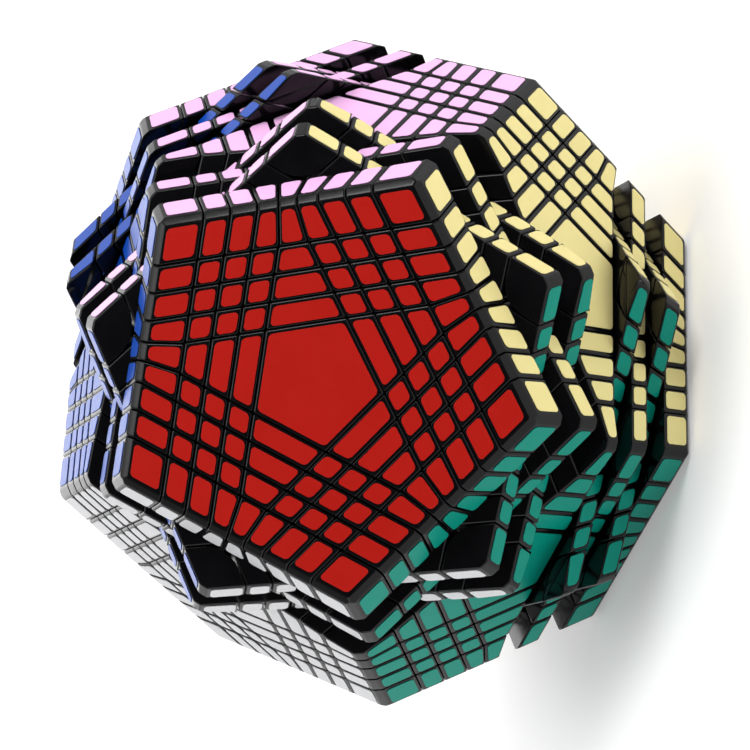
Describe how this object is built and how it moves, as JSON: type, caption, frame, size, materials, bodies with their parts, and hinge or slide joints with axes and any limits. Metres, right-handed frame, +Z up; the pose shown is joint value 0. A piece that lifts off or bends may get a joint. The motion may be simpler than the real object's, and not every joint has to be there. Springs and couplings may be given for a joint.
{
  "type": "dodecahedron twisty puzzle",
  "caption": "Dodecahedral twisting puzzle with rows of small stickered tiles on pentagonal faces; some inner layers are turned so that their dark corner pieces step out like stars.",
  "frame": {"origin": "middle of the sky-blue face's stickers, on which the puzzle stands", "axes": "+Z up, out of the middle of the blue face; -Y towards the red face's side"},
  "size_m": [0.1583, 0.1666, 0.1468],
  "materials": {
    "black_plastic": "satin moulded ABS",
    "core_plastic": "moulded nylon",
    "steel": "zinc-plated",
    "sticker_blue": "satin vinyl film",
    "sticker_red": "satin vinyl film",
    "sticker_pink": "satin vinyl film",
    "sticker_orange": "satin vinyl film",
    "sticker_purple": "satin vinyl film",
    "sticker_white": "satin vinyl film",
    "sticker_cream": "satin vinyl film",
    "sticker_yellow": "satin vinyl film",
    "sticker_grey": "satin vinyl film",
    "sticker_lime": "satin vinyl film",
    "sticker_teal": "satin vinyl film",
    "sticker_sky": "satin vinyl film"
  },
  "bodies": {
    "root": {"core": "core_plastic", "screws": "steel", "springs": "steel", "inner_body": "black_plastic", "corners": "black_plastic", "edges": "black_plastic", "face_blocks": "black_plastic", "centres": "black_plastic", "centre_caps": "black_plastic", "stickers_blue": "sticker_blue", "stickers_pink": "sticker_pink", "stickers_purple": "sticker_purple", "stickers_white": "sticker_white", "stickers_cream": "sticker_cream", "stickers_yellow": "sticker_yellow", "stickers_grey": "sticker_grey", "stickers_lime": "sticker_lime", "stickers_teal": "sticker_teal"},
    "red_outer": {"red_outer_corners": "black_plastic", "red_outer_edges": "black_plastic", "red_outer_blocks": "black_plastic", "red_outer_centre": "black_plastic", "red_outer_cap": "black_plastic", "red_outer_face_stickers": "sticker_red", "red_outer_side_stickers": "sticker_pink"},
    "orange_outer": {"orange_outer_corners": "black_plastic", "orange_outer_edges": "black_plastic", "orange_outer_blocks": "black_plastic", "orange_outer_centre": "black_plastic", "orange_outer_cap": "black_plastic", "orange_outer_face_stickers": "sticker_orange", "orange_outer_side_stickers": "sticker_yellow"},
    "sky_outer": {"sky_outer_corners": "black_plastic", "sky_outer_edges": "black_plastic", "sky_outer_blocks": "black_plastic", "sky_outer_centre": "black_plastic", "sky_outer_cap": "black_plastic", "sky_outer_face_stickers": "sticker_sky", "sky_outer_side_stickers": "sticker_teal"},
    "red_slice_2": {"red_slice_2": "black_plastic", "red_slice_2_stickers": "sticker_pink"},
    "red_slice_3": {"red_slice_3": "black_plastic", "red_slice_3_stickers": "sticker_pink"},
    "red_slice_4": {"red_slice_4": "black_plastic", "red_slice_4_stickers": "sticker_pink"},
    "orange_slice_2": {"orange_slice_2": "black_plastic", "orange_slice_2_stickers": "sticker_yellow"},
    "orange_slice_3": {"orange_slice_3": "black_plastic", "orange_slice_3_stickers": "sticker_yellow"},
    "orange_slice_4": {"orange_slice_4": "black_plastic", "orange_slice_4_stickers": "sticker_yellow"},
    "sky_slice_2": {"sky_slice_2": "black_plastic", "sky_slice_2_stickers": "sticker_teal"},
    "sky_slice_3": {"sky_slice_3": "black_plastic", "sky_slice_3_stickers": "sticker_teal"},
    "sky_slice_4": {"sky_slice_4": "black_plastic", "sky_slice_4_stickers": "sticker_teal"}
  },
  "joints": [
    {"name": "red_outer_turn", "type": "hinge", "parent": "root", "child": "red_outer", "pos_m": [0, 0, 0.06812], "axis": [0, -0.8944, 0.4472], "continuous": true},
    {"name": "red_slice_2_turn", "type": "hinge", "parent": "root", "child": "red_slice_2", "pos_m": [0, 0, 0.06812], "axis": [0, -0.8944, 0.4472], "continuous": true},
    {"name": "red_slice_3_turn", "type": "hinge", "parent": "root", "child": "red_slice_3", "pos_m": [0, 0, 0.06812], "axis": [0, -0.8944, 0.4472], "continuous": true},
    {"name": "red_slice_4_turn", "type": "hinge", "parent": "root", "child": "red_slice_4", "pos_m": [0, 0, 0.06812], "axis": [0, -0.8944, 0.4472], "continuous": true},
    {"name": "orange_outer_turn", "type": "hinge", "parent": "root", "child": "orange_outer", "pos_m": [0, 0, 0.06812], "axis": [0.5257, 0.7236, 0.4472], "continuous": true},
    {"name": "orange_slice_2_turn", "type": "hinge", "parent": "root", "child": "orange_slice_2", "pos_m": [0, 0, 0.06812], "axis": [0.5257, 0.7236, 0.4472], "continuous": true},
    {"name": "orange_slice_3_turn", "type": "hinge", "parent": "root", "child": "orange_slice_3", "pos_m": [0, 0, 0.06812], "axis": [0.5257, 0.7236, 0.4472], "continuous": true},
    {"name": "orange_slice_4_turn", "type": "hinge", "parent": "root", "child": "orange_slice_4", "pos_m": [0, 0, 0.06812], "axis": [0.5257, 0.7236, 0.4472], "continuous": true},
    {"name": "sky_outer_turn", "type": "hinge", "parent": "root", "child": "sky_outer", "pos_m": [0, 0, 0.06812], "axis": [0, 0, -1], "continuous": true},
    {"name": "sky_slice_2_turn", "type": "hinge", "parent": "root", "child": "sky_slice_2", "pos_m": [0, 0, 0.06812], "axis": [0, 0, -1], "continuous": true},
    {"name": "sky_slice_3_turn", "type": "hinge", "parent": "root", "child": "sky_slice_3", "pos_m": [0, 0, 0.06812], "axis": [0, 0, -1], "continuous": true},
    {"name": "sky_slice_4_turn", "type": "hinge", "parent": "root", "child": "sky_slice_4", "pos_m": [0, 0, 0.06812], "axis": [0, 0, -1], "continuous": true}
  ]
}
